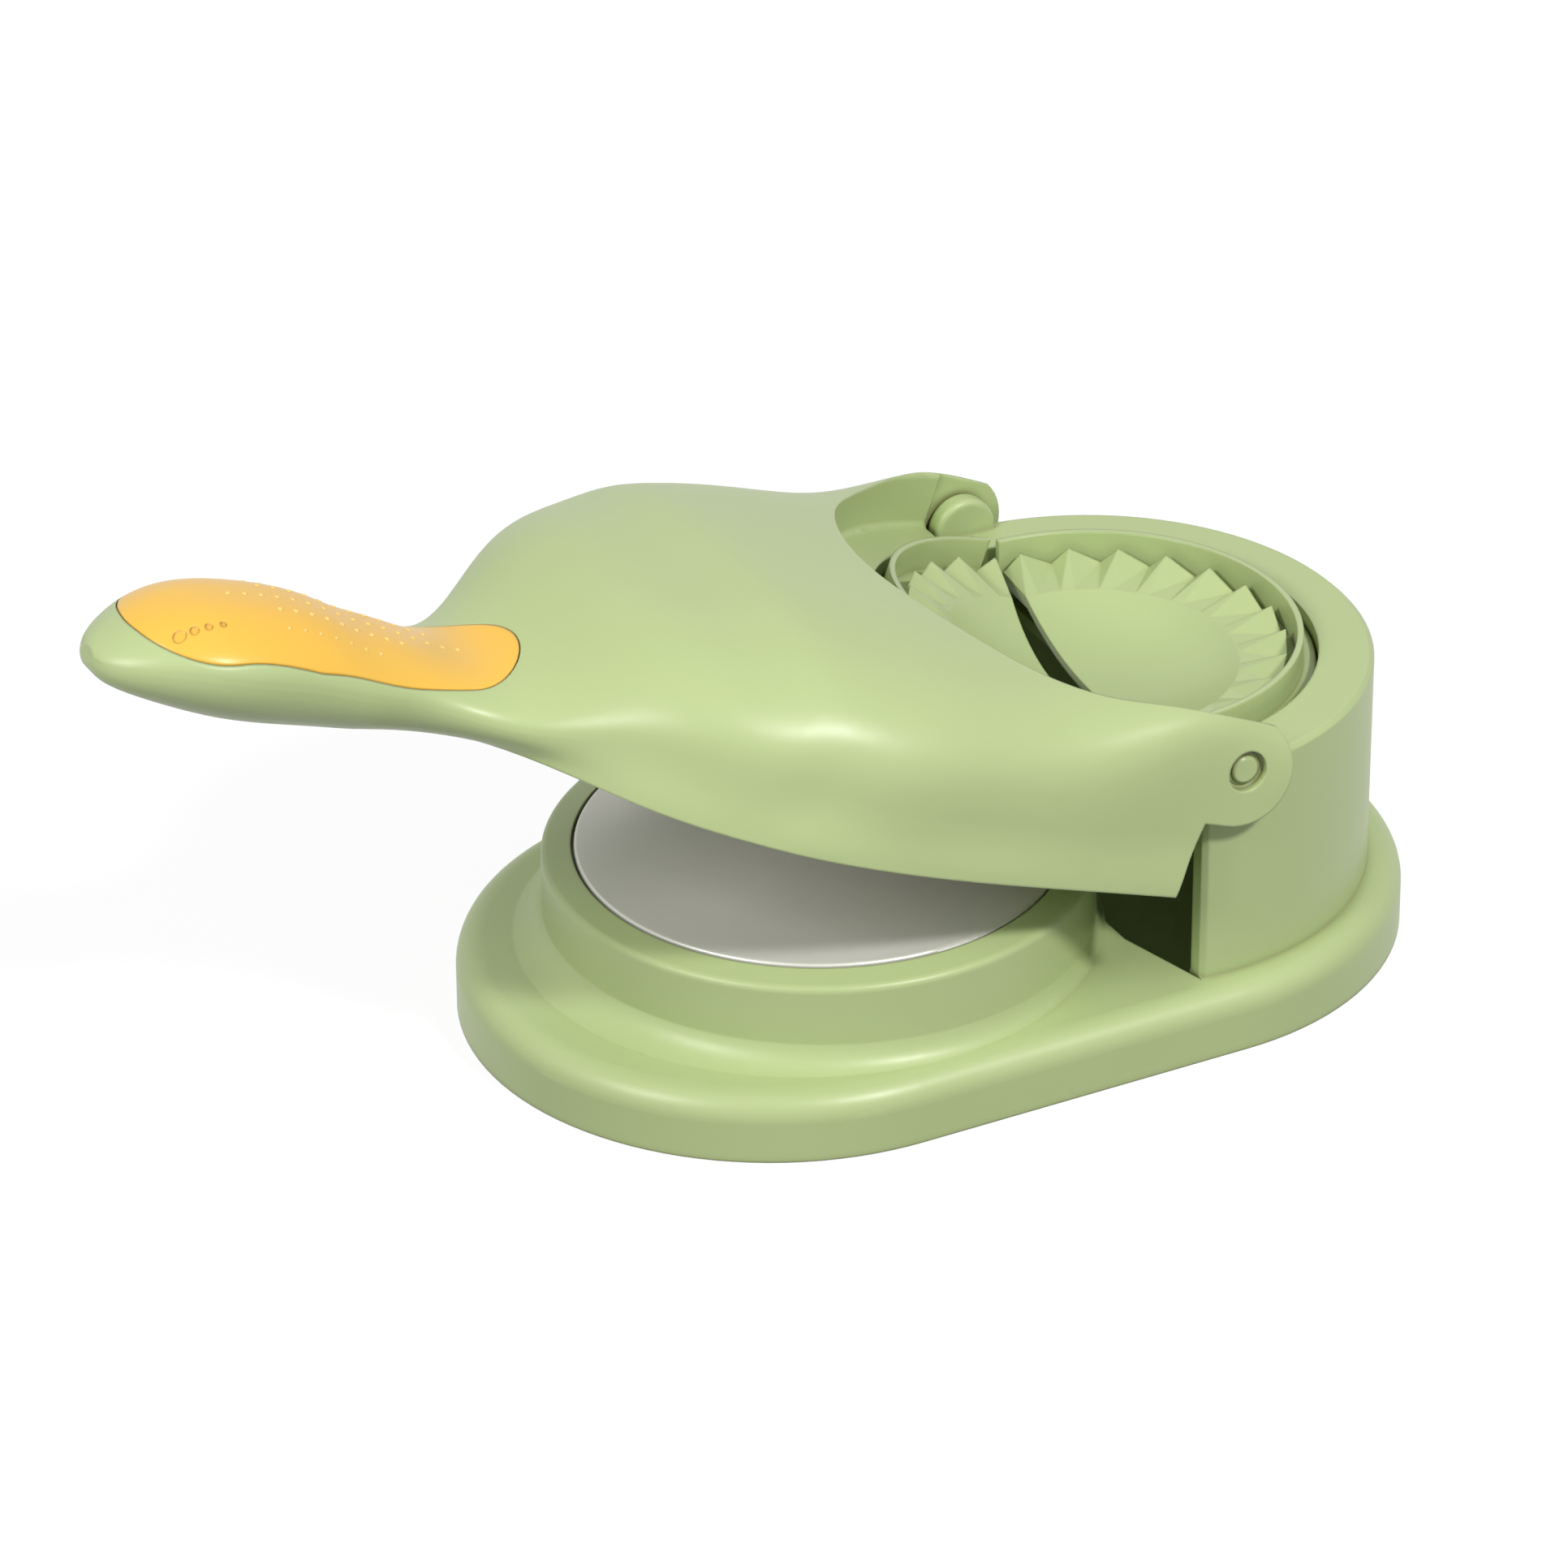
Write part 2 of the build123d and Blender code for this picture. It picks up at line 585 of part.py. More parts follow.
def ear_trim():
    """All that lies behind the skirt's slanted rear edge, but for the round ears."""
    ear_bottom = -EAR_DROP - EAR_R
    corners = [
        (SKIRT_REAR_X, beyond), (beyond, beyond), (beyond, -beyond),
        (SKIRT_REAR_X - SKIRT_REAR_SLANT, -beyond), (SKIRT_REAR_X - SKIRT_REAR_SLANT, SKIRT_Z),
        (SKIRT_REAR_X, ear_bottom),
    ]
    outline = make_face(Polyline([(x, beyond, z) for x, z in corners], close=True))
    behind = extrude(outline, 2 * beyond, dir=(0, -1, 0))
    side_plane = Plane(origin=(0, -2 * beyond, 0), x_dir=(1, 0, 0), z_dir=(0, -1, 0))
    shoulder_z = EAR_CROWN - EAR_SHOULDER_DROP - EAR_SHOULDER_R
    rounds = Pos(EAR_X, -EAR_DROP) * Circle(EAR_R) + Pos(EAR_SHOULDER_X, shoulder_z) * Circle(EAR_SHOULDER_R)
    kept = extrude(side_plane * make_hull(rounds.edges()), -4 * beyond)
    kept += side_bar(SKIRT_REAR_X - 1, EAR_SHOULDER_X, 2 * beyond, ear_bottom, beyond)
    kept += side_bar(SKIRT_REAR_X - 1, EAR_X, 2 * beyond, ear_bottom, 0)
    return behind - kept


def rear_limits(margin):
    """The space that the arm's inside may fill at its rear end, between the drum's cheeks."""
    middle = side_bar(-3 * beyond, REAR_X - margin, REAR_HALF_W - margin, -beyond, beyond)
    return middle + side_bar(-3 * beyond, NOTCH_X - margin, beyond, -beyond, beyond)


def grip_outline(low, high, clear):
    """The tongue-shaped plan of the hand grip, as three rounds joined by tangents."""
    edges = []
    for distance, r in ((GRIP_TAIL, GRIP_TAIL_R), (GRIP_WAIST, GRIP_WAIST_R), (GRIP_NECK, GRIP_NECK_R)):
        edges += (Pos(-PIVOT_X - distance, 0, low) * Circle(r - clear)).edges()
    return extrude(make_hull(edges), high - low)


def recess():
    """The round recess that takes the drum when the arm is folded over, with a rounded rim."""
    floor, foot_r, rim_r, rim_z = RECESS_FLOOR, RECESS_FILLET, RECESS_RIM_ROUND, RECESS_RIM_Z
    short = 1 - sqrt(0.5)
    foot_in, foot_up = (RECESS_R - foot_r, 0, floor), (RECESS_R, 0, floor + foot_r)
    rim_low, rim_out = (RECESS_R, 0, rim_z - rim_r), (RECESS_R + rim_r, 0, rim_z)
    outside = rim_out[0] + RECESS_RIM_FLARE
    outline = [
        Polyline((0, 0, beyond), (0, 0, floor), foot_in),
        ThreePointArc(foot_in, (RECESS_R - foot_r * short, 0, floor + foot_r * short), foot_up),
        Line(foot_up, rim_low),
        ThreePointArc(rim_low, (RECESS_R + rim_r * short, 0, rim_z - rim_r * short), rim_out),
        Polyline(rim_out, (outside, 0, rim_z + RECESS_RIM_RISE), (outside, 0, beyond), (0, 0, beyond)),
    ]
    return revolve(make_face(outline), Axis.Z)


def arm_shell(outer, inner):
    body = outer - recess()
    hollow = inner - disc(RECESS_R + ARM_WALL, RECESS_FLOOR - ARM_WALL, beyond)
    body -= hollow & rear_limits(ARM_WALL)
    seat = MOVING_FLANGE_TOP - MOULD_FLANGE_T
    cup = disc(POCKET_R + CUP_WALL, seat - LEDGE_T, RECESS_FLOOR)
    body += cup & side_bar(-beyond, REAR_X, beyond, -beyond, beyond)
    body -= disc(POCKET_R, seat, beyond)
    body -= disc(POCKET_R - LEDGE_W, POST_END + THROAT_RISE, beyond)
    bar = side_bar(-POST_X - BRIDGE_W / 2, -POST_X + BRIDGE_W / 2, beyond, bridge_low, POST_END)
    body += bar & outer & side_bar(-beyond, beyond, DRUM_R, -beyond, beyond)
    for x, y in arm_screw_places:
        under_recess = sqrt(x * x + y * y) < RECESS_R + BOSS_R
        top = RECESS_FLOOR - BOSS_TOP_IN if under_recess else beyond
        body += disc(BOSS_R, arm_cover_top, top, x, y) & outer
        body -= disc(SCREW_HOLE_R, arm_cover_top - 1, arm_cover_top + SCREW_L, x, y)
    for side in (-1, 1):
        y0, y1 = sorted((side * REAR_HALF_W, side * ear_inner_y))
        body -= block(NOTCH_X, beyond, y0, y1, -beyond, beyond)
        body -= disc(hole_r, bridge_low - 1, POST_END + 1, -POST_X, side * POST_Y)
        body -= cross_disc(PIN_R + PIN_RUNNING, 0, side * beyond)
        body -= cross_disc(EAR_SINK_R, side * (ARM_HALF_W - EAR_SINK), side * beyond)
    body -= side_bar(REAR_X, beyond, REAR_HALF_W + 0.1, -beyond, beyond)
    body -= ear_trim()
    body -= grip_outline(GRIP_BOTTOM, beyond, 0)
    for x in grip_screw_xs:
        body -= disc(hole_r, -beyond, GRIP_BOTTOM, x)
        body -= disc(head_hole_r, -beyond, grip_screw_seat(x), x)
    return body


def grip_screw_seat(x):
    """Where a grip screw's head bears in the handle's floor, from the two sections beside it."""
    rows = arm_rows()
    left, right = next(pair for pair in zip(rows, rows[1:]) if pair[0][0] <= x <= pair[1][0])
    share = (x - left[0]) / (right[0] - left[0])
    return left[3] + (right[3] - left[3]) * share + ARM_WALL * 0.55


def handle_grip(outer, inner):
    """The hollow grip, with a row of shrinking round dimples near its tail."""
    body = outer & grip_outline(GRIP_BOTTOM, beyond, GRIP_CLEAR)
    body -= inner & grip_outline(-beyond, beyond, GRIP_CLEAR + GRIP_WALL)
    below_dimples = arm_body(DIMPLE_DEPTH)
    for distance, r in DIMPLES:
        body -= disc(r, GRIP_BOTTOM, beyond, -PIVOT_X - distance, DIMPLE_Y) - below_dimples
    return body


def arm_underside_cover(inner):
    slab = side_bar(cover_front_x, beyond, beyond, arm_cover_bottom, arm_cover_top)
    cover = slab & inner & rear_limits(ARM_WALL + COVER_CLEAR)
    cover -= disc(PLATE_R + HEAD_CLEAR, -beyond, upper_face + PLATE_T + PAD_T, -PIVOT_X)
    for x, y in arm_screw_places:
        cover -= disc(head_hole_r, -beyond, arm_cover_bottom + HEAD_H + HEAD_CLEAR, x, y)
        cover -= disc(hole_r, -beyond, beyond, x, y)
    return cover


def grip_screws():
    return Compound(children=[Pos(x, 0, grip_screw_seat(x)) * screw(SCREW_L) for x in grip_screw_xs])


# the nodes, with the arm's pieces raised to the rest pose ------------------------------


def base_nodes():
    mould_screw_places = [(PIVOT_X + POST_X, y) for y in (-POST_Y, POST_Y)]
    nodes = {
        "base_shell": base_shell(),
        "bottom_cover": bottom_cover(),
        "bottom_cover_screws": screws(base_screw_places, cover_bottom + HEAD_H, SCREW_L),
        "lower_press_plate": Pos(0, 0, plate_top) * pressed_plate(),
        "lower_plate_pad": Pos(0, 0, plate_top) * plate_pad(),
        "fixed_mould": fixed_mould(),
        "fixed_mould_screws": screws(mould_screw_places, PIVOT_Z + bridge_low, SCREW_L),
        "pivot_pin_near": pivot_pin(-1),
        "pivot_pin_far": pivot_pin(1),
    }
    for n, (x, y) in enumerate(foot_places, 1):
        nodes[f"rubber_foot_{n}"] = foot(x, y)
    return nodes


def arm_nodes():
    outer = arm_body(0)
    inner = arm_body(ARM_WALL)
    plate_place = Pos(-PIVOT_X, 0, upper_face) * Rot(180, 0, 0)
    mould_screw_places = [(-POST_X, y) for y in (-POST_Y, POST_Y)]
    return {
        "arm_shell": arm_shell(outer, inner),
        "handle_grip": handle_grip(outer, inner),
        "grip_screws": grip_screws(),
        "arm_underside_cover": arm_underside_cover(inner),
        "underside_cover_screws": screws(arm_screw_places, arm_cover_bottom + HEAD_H, SCREW_L),
        "upper_press_plate": plate_place * pressed_plate(),
        "upper_plate_pad": plate_place * plate_pad(),
        "moving_mould": moving_mould(),
        "moving_mould_screws": screws(mould_screw_places, bridge_low, SCREW_L),
    }


def save_all():
    os.makedirs("parts", exist_ok=True)
    raised = Pos(PIVOT_X, 0, PIVOT_Z) * Rot(0, REST_ANGLE, 0)
    nodes = base_nodes()
    for name, shape in arm_nodes().items():
        nodes[name] = raised * shape
    for name, shape in nodes.items():
        export_step(Compound(children=list(shape.solids())), f"parts/{name}.step")


save_all()
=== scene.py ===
from math import cos, pi, radians, sin

import bpy
from mathutils import Matrix, Vector


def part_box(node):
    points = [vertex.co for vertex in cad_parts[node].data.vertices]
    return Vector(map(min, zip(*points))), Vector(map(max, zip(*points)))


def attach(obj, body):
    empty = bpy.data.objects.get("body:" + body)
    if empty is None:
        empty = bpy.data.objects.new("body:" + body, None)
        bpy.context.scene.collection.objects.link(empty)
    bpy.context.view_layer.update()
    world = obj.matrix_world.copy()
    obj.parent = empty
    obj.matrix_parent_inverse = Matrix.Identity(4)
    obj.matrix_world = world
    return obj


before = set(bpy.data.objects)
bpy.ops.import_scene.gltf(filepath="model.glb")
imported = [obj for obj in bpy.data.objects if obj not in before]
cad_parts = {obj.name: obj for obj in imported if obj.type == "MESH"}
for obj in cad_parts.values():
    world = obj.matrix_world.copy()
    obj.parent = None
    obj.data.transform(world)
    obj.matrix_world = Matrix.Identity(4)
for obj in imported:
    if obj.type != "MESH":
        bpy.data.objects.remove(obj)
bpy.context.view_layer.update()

bpy.ops.object.select_all(action="DESELECT")

# ---------------------------------------------------------------------------------------
# Base casing: the oval flange, the round platform and the drum in one moulding of satin
# sage-green polypropylene, and a flat cover that closes it from below. Both have the
# mould's fine texture, and slightly paler, rounded corners where hands and cloths rub.
# ---------------------------------------------------------------------------------------
sage = (0.422, 0.516, 0.232, 1.0)
sage_pale = (0.458, 0.552, 0.262, 1.0)
sage_rubbed = (0.550, 0.635, 0.355, 1.0)
# Painted shade: the colour that darkens the moulded surfaces in their crevices and seams, where
# less light reaches.
painted_crevice_shade = (0.50, 0.42, 0.32, 1.0)
polypropylene_ior = 1.49


def sockets_in(group, **values):
    """Input sockets of a group: a colour for each tuple and a number for each float."""
    for label, value in values.items():
        kind = "NodeSocketColor" if isinstance(value, tuple) else "NodeSocketFloat"
        socket = group.interface.new_socket(
            name=label.replace("_", " "), in_out="INPUT", socket_type=kind
        )
        socket.default_value = value


def node_with(tree, kind, **values):
    """A shader node with some of its settings or input sockets set."""
    node = tree.nodes.new(kind)
    for name, value in values.items():
        label = name.replace("_", " ")
        if label in node.inputs:
            node.inputs[label].default_value = value
        else:
            setattr(node, name, value)
    return node


def surface_group(name):
    """A node group that puts out a surface's colour, roughness and normal, and its end nodes."""
    group = bpy.data.node_groups.new(name, "ShaderNodeTree")
    for label, kind in (("Colour", "Color"), ("Roughness", "Float"), ("Normal", "Vector")):
        group.interface.new_socket(name=label, in_out="OUTPUT", socket_type="NodeSocket" + kind)
    return group, group.nodes.new("NodeGroupInput"), group.nodes.new("NodeGroupOutput")


def moulded_surface_group():
    """Fine grain, a slow drift of colour and gloss, rubbed corners and painted shade in
    crevices.
    """
    group, given, out = surface_group("moulded_surface")
    sockets_in(group, Colour=sage, Pale_Colour=sage_pale, Rubbed_Colour=sage_rubbed)
    sockets_in(group, Gloss_Low=0.34, Gloss_High=0.43, Grain=0.06, Wear=0.5)
    place = group.nodes.new("ShaderNodeTexCoord")
    cloud = node_with(group, "ShaderNodeTexNoise", Scale=26.0, Detail=3.0, Roughness=0.55)
    grain = node_with(group, "ShaderNodeTexNoise", Scale=2600.0, Detail=2.0, Roughness=0.6)
    pores = node_with(group, "ShaderNodeTexNoise", Scale=420.0, Detail=3.0, Roughness=0.6)
    rounding = node_with(group, "ShaderNodeBevel", samples=6, Radius=0.0006)
    flat = group.nodes.new("ShaderNodeNewGeometry")
    facing = node_with(group, "ShaderNodeVectorMath", operation="DOT_PRODUCT")
    corner = node_with(group, "ShaderNodeMapRange", From_Min=0.995, From_Max=0.90)
    patchy = node_with(group, "ShaderNodeMath", operation="MULTIPLY")
    worn = node_with(group, "ShaderNodeMath", operation="MULTIPLY")
    colour = node_with(group, "ShaderNodeMix", data_type="RGBA")
    rubbed = node_with(group, "ShaderNodeMix", data_type="RGBA")
    # Painted shade: ambient occlusion darkens the colour in dimples, seams and other crevices.
    crevice = node_with(group, "ShaderNodeAmbientOcclusion", samples=4, Distance=0.0016)
    depth = node_with(group, "ShaderNodeMapRange", From_Min=0.85, From_Max=0.25)
    painted_shade_colour = node_with(
        group, "ShaderNodeMix", data_type="RGBA", blend_type="MULTIPLY", B=painted_crevice_shade
    )
    drift = node_with(group, "ShaderNodeMath", operation="ADD")
    half = node_with(group, "ShaderNodeMath", operation="MULTIPLY")
    half.inputs[1].default_value = 0.5
    gloss = group.nodes.new("ShaderNodeMapRange")
    bump = node_with(group, "ShaderNodeBump", Distance=0.00004)
    link = group.links.new
    for texture in (cloud, grain, pores):
        link(place.outputs["Object"], texture.inputs["Vector"])
    link(rounding.outputs["Normal"], facing.inputs[0])
    link(flat.outputs["Normal"], facing.inputs[1])
    link(facing.outputs["Value"], corner.inputs["Value"])
    link(corner.outputs["Result"], patchy.inputs[0])
    link(pores.outputs["Fac"], patchy.inputs[1])
    link(patchy.outputs["Value"], worn.inputs[0])
    link(given.outputs["Wear"], worn.inputs[1])
    link(cloud.outputs["Fac"], colour.inputs["Factor"])
    link(given.outputs["Colour"], colour.inputs["A"])
    link(given.outputs["Pale Colour"], colour.inputs["B"])
    link(worn.outputs["Value"], rubbed.inputs["Factor"])
    link(colour.outputs["Result"], rubbed.inputs["A"])
    link(given.outputs["Rubbed Colour"], rubbed.inputs["B"])
    link(crevice.outputs["AO"], depth.inputs["Value"])
    link(depth.outputs["Result"], painted_shade_colour.inputs["Factor"])
    link(rubbed.outputs["Result"], painted_shade_colour.inputs["A"])
    link(cloud.outputs["Fac"], drift.inputs[0])
    link(pores.outputs["Fac"], drift.inputs[1])
    link(drift.outputs["Value"], half.inputs[0])
    link(half.outputs["Value"], gloss.inputs["Value"])
    link(given.outputs["Gloss Low"], gloss.inputs["To Min"])
    link(given.outputs["Gloss High"], gloss.inputs["To Max"])
    link(grain.outputs["Fac"], bump.inputs["Height"])
    link(given.outputs["Grain"], bump.inputs["Strength"])
    link(rounding.outputs["Normal"], bump.inputs["Normal"])
    link(painted_shade_colour.outputs["Result"], out.inputs["Colour"])
    link(gloss.outputs["Result"], out.inputs["Roughness"])
    link(bump.outputs["Normal"], out.inputs["Normal"])
    return group


moulded_surface = moulded_surface_group()


def surfaced_material(name, group, ior=1.5, metallic=0.0, **values):
    """A material whose Principled shader takes what a surface group puts out."""
    material = bpy.data.materials.new(name)
    material.use_nodes = True
    tree = material.node_tree
    shader = tree.nodes["Principled BSDF"]
    shader.inputs["IOR"].default_value = ior
    shader.inputs["Metallic"].default_value = metallic
    surface = tree.nodes.new("ShaderNodeGroup")
    surface.name = "surface"
    surface.node_tree = group
    for label, value in values.items():
        surface.inputs[label.replace("_", " ")].default_value = value
    tree.links.new(surface.outputs["Colour"], shader.inputs["Base Color"])
    tree.links.new(surface.outputs["Roughness"], shader.inputs["Roughness"])
    tree.links.new(surface.outputs["Normal"], shader.inputs["Normal"])
    return material


def finish_nodes(material, *names):
    """Gives the named pieces of the frame this material."""
    for name in names:
        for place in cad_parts[name].material_slots:
            place.material = material


sage_plastic = surfaced_material("sage_plastic", moulded_surface, ior=polypropylene_ior)
finish_nodes(sage_plastic, "base_shell", "bottom_cover")

# ---------------------------------------------------------------------------------------
# Press plates: two shallow dishes pressed from thin stainless sheet, one on the platform
# and one under the arm. Each is spun on its face, so it has faint rings about its centre,
# and it scatters light widely.
# ---------------------------------------------------------------------------------------
steel = (0.760, 0.756, 0.690, 1.0)
steel_dull = (0.680, 0.675, 0.612, 1.0)
steel_metallic = 0.30
scratches_per_metre = (60.0, 900.0, 60.0)
arm_tilt = radians(20.2)


def spun_steel_group():
    """Fine rings about the Z axis, faint cloudy handling marks and a few hair scratches."""
    group, given, out = surface_group("spun_steel")
    sockets_in(group, Bright=steel, Dull=steel_dull, Ring_Depth=0.10)
    group.interface.new_socket(name="Place", in_out="INPUT", socket_type="NodeSocketVector")
    split = group.nodes.new("ShaderNodeSeparateXYZ")
    flatten = group.nodes.new("ShaderNodeCombineXYZ")
    distance = node_with(group, "ShaderNodeVectorMath", operation="LENGTH")
    across = group.nodes.new("ShaderNodeCombineXYZ")
    rings = node_with(group, "ShaderNodeTexNoise", Scale=2400.0, Detail=3.0, Roughness=0.7)
    cloud = node_with(group, "ShaderNodeTexNoise", Scale=48.0, Detail=4.0, Roughness=0.6)
    stretch = node_with(group, "ShaderNodeVectorMath", operation="MULTIPLY")
    stretch.inputs[1].default_value = scratches_per_metre
    hairs = node_with(group, "ShaderNodeTexNoise", Scale=1.0, Detail=2.0, Roughness=0.5)
    scratch = node_with(group, "ShaderNodeMapRange", From_Min=0.66, From_Max=0.74)
    colour = node_with(group, "ShaderNodeMix", data_type="RGBA")
    gloss = node_with(group, "ShaderNodeMapRange", To_Min=0.30, To_Max=0.40)
    height = node_with(group, "ShaderNodeMath", operation="SUBTRACT")
    bump = node_with(group, "ShaderNodeBump", Distance=0.00003)
    link = group.links.new
    link(given.outputs["Place"], split.inputs[0])
    link(split.outputs["X"], flatten.inputs["X"])
    link(split.outputs["Y"], flatten.inputs["Y"])
    link(flatten.outputs[0], distance.inputs[0])
    link(distance.outputs["Value"], across.inputs["X"])
    link(across.outputs[0], rings.inputs["Vector"])
    link(given.outputs["Place"], cloud.inputs["Vector"])
    link(given.outputs["Place"], stretch.inputs[0])
    link(stretch.outputs[0], hairs.inputs["Vector"])
    link(hairs.outputs["Fac"], scratch.inputs["Value"])
    link(cloud.outputs["Fac"], colour.inputs["Factor"])
    link(given.outputs["Bright"], colour.inputs["A"])
    link(given.outputs["Dull"], colour.inputs["B"])
    link(cloud.outputs["Fac"], gloss.inputs["Value"])
    link(rings.outputs["Fac"], height.inputs[0])
    link(scratch.outputs["Result"], height.inputs[1])
    link(height.outputs["Value"], bump.inputs["Height"])
    link(given.outputs["Ring Depth"], bump.inputs["Strength"])
    link(colour.outputs["Result"], out.inputs["Colour"])
    link(gloss.outputs["Result"], out.inputs["Roughness"])
    link(bump.outputs["Normal"], out.inputs["Normal"])
    return group


spun_steel = spun_steel_group()


def plate_steel(name, plate, tilt):
    """The plate's steel, with its rings turned about the plate's own centre and face."""
    material = surfaced_material(name, spun_steel, metallic=steel_metallic)
    tree = material.node_tree
    low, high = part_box(plate)
    middle = (Vector(low) + Vector(high)) / 2
    place = tree.nodes.new("ShaderNodeTexCoord")
    centred = tree.nodes.new("ShaderNodeMapping")
    centred.vector_type = "TEXTURE"
    centred.inputs["Location"].default_value = middle
    centred.inputs["Rotation"].default_value = (0, tilt, 0)
    tree.links.new(place.outputs["Object"], centred.inputs["Vector"])
    tree.links.new(centred.outputs["Vector"], tree.nodes["surface"].inputs["Place"])
    finish_nodes(material, plate)


plate_steel("lower_plate_steel", "lower_press_plate", 0.0)
plate_steel("upper_plate_steel", "upper_press_plate", arm_tilt)

# ---------------------------------------------------------------------------------------
# Plate pads: discs of grey closed-cell foam that bed each plate in its seat and let it
# give a little. The cut cells show as fine pits.
# ---------------------------------------------------------------------------------------
foam_light = (0.42, 0.42, 0.41, 1.0)
foam_dark = (0.30, 0.30, 0.29, 1.0)


def pitted_surface_group():
    """Small round pits over a cloudy matt surface, for foam and for moulded rubber."""
    group, given, out = surface_group("pitted_surface")
    sockets_in(group, Light=foam_light, Dark=foam_dark, Pits_per_Metre=1500.0)
    sockets_in(group, Depth=0.6, Roughness_Low=0.80, Roughness_High=0.95)
    place = group.nodes.new("ShaderNodeTexCoord")
    pits = group.nodes.new("ShaderNodeTexVoronoi")
    cloud = node_with(group, "ShaderNodeTexNoise", Scale=180.0, Detail=4.0, Roughness=0.6)
    rounding = node_with(group, "ShaderNodeBevel", samples=4, Radius=0.0004)
    colour = node_with(group, "ShaderNodeMix", data_type="RGBA")
    gloss = group.nodes.new("ShaderNodeMapRange")
    bump = node_with(group, "ShaderNodeBump", Distance=0.00012)
    link = group.links.new
    link(place.outputs["Object"], pits.inputs["Vector"])
    link(place.outputs["Object"], cloud.inputs["Vector"])
    link(given.outputs["Pits per Metre"], pits.inputs["Scale"])
    link(cloud.outputs["Fac"], colour.inputs["Factor"])
    link(given.outputs["Light"], colour.inputs["A"])
    link(given.outputs["Dark"], colour.inputs["B"])
    link(cloud.outputs["Fac"], gloss.inputs["Value"])
    link(given.outputs["Roughness Low"], gloss.inputs["To Min"])
    link(given.outputs["Roughness High"], gloss.inputs["To Max"])
    link(pits.outputs["Distance"], bump.inputs["Height"])
    link(given.outputs["Depth"], bump.inputs["Strength"])
    link(rounding.outputs["Normal"], bump.inputs["Normal"])
    link(colour.outputs["Result"], out.inputs["Colour"])
    link(gloss.outputs["Result"], out.inputs["Roughness"])
    link(bump.outputs["Normal"], out.inputs["Normal"])
    return group


pitted_surface = pitted_surface_group()
pad_foam = surfaced_material("pad_foam", pitted_surface)
finish_nodes(pad_foam, "lower_plate_pad", "upper_plate_pad")

# ---------------------------------------------------------------------------------------
# Mould halves: two toothed half bowls in the same green plastic, a little smoother and
# glossier so that dough lets go. Screws hold one in the drum and the other in the arm.
# ---------------------------------------------------------------------------------------
mould_plastic = surfaced_material(
    "mould_plastic", moulded_surface, ior=polypropylene_ior,
    Gloss_Low=0.25, Gloss_High=0.34, Grain=0.04, Wear=0.35,
)
finish_nodes(mould_plastic, "fixed_mould", "moving_mould")

# ---------------------------------------------------------------------------------------
# Hinge pins: two stub pins in the same green, turned smooth, pressed into the drum's lugs
# and showing in the arm's ears.
# ---------------------------------------------------------------------------------------
pin_plastic = surfaced_material(
    "pin_plastic", moulded_surface, ior=polypropylene_ior,
    Gloss_Low=0.30, Gloss_High=0.36, Grain=0.02, Wear=0.7,
)
finish_nodes(pin_plastic, "pivot_pin_near", "pivot_pin_far")

# ---------------------------------------------------------------------------------------
# Arm: the duck-shaped lever, one green shell with a screwed cover under it. It is moulded
# like the base, and worn a little more along its edges because it is the part one holds.
# ---------------------------------------------------------------------------------------
arm_plastic = surfaced_material(
    "arm_plastic", moulded_surface, ior=polypropylene_ior,
    Gloss_Low=0.33, Gloss_High=0.42, Grain=0.05, Wear=0.6,
)
finish_nodes(arm_plastic, "arm_shell", "arm_underside_cover")

# ---------------------------------------------------------------------------------------
# Hand grip: a yellow tongue let into the top of the handle, a little glossier than the
# green, held by two screws from below.
# ---------------------------------------------------------------------------------------
yellow = (0.850, 0.482, 0.052, 1.0)
yellow_pale = (0.872, 0.520, 0.074, 1.0)
yellow_rubbed = (0.955, 0.680, 0.230, 1.0)
yellow_plastic = surfaced_material(
    "yellow_plastic", moulded_surface,
    Colour=yellow, Pale_Colour=yellow_pale, Rubbed_Colour=yellow_rubbed,
    Gloss_Low=0.28, Gloss_High=0.36, Grain=0.04, Wear=0.15,
)
finish_nodes(yellow_plastic, "handle_grip")

# ---------------------------------------------------------------------------------------
# Grip pips: five rows of small raised domes along the top of the grip, moulded in one
# with it, that keep a wet hand from slipping. The middle row is the longest, and the
# outermost two are finer. The domes are given a paler yellow than the grip they stand
# on, a painted highlight for the light their tops catch.
# Painted highlight: the pips' paler yellows stand in for the light on their tops; the real pips
# are the grip's own yellow.
pip_highlight_yellow = (0.950, 0.600, 0.130, 1.0)
pip_highlight_yellow_pale = (0.960, 0.660, 0.200, 1.0)
pip_highlight_yellow_rubbed = (0.970, 0.760, 0.380, 1.0)
pip_radius = 0.00058
pip_height = 0.00034
pip_skirt = 0.3
pip_sunk = 0.00012
pip_pitch = 0.0031
pip_row_gap = 0.0046
middle_pip = -0.1500
above_grip = 0.05
hinge = Vector((0.055, 0.0, 0.0545))
up_from_arm = Vector((sin(arm_tilt), 0.0, cos(arm_tilt)))
along_arm = Vector((cos(arm_tilt), 0.0, -sin(arm_tilt)))

# One dome: the top of a ball of radius one, with a short skirt that sinks into the grip.
bpy.ops.mesh.primitive_uv_sphere_add(segments=14, ring_count=10, radius=1.0, location=(0, 0, 0))
pip = bpy.context.object
bpy.ops.object.mode_set(mode="EDIT")
bpy.ops.mesh.select_all(action="SELECT")
bpy.ops.mesh.bisect(
    plane_co=(0, 0, -pip_skirt), plane_no=(0, 0, 1), clear_inner=True, use_fill=True
)
bpy.ops.object.mode_set(mode="OBJECT")
pip.scale = (pip_radius, pip_radius, pip_height)
bpy.ops.object.transform_apply(scale=True)
bpy.ops.object.shade_smooth()

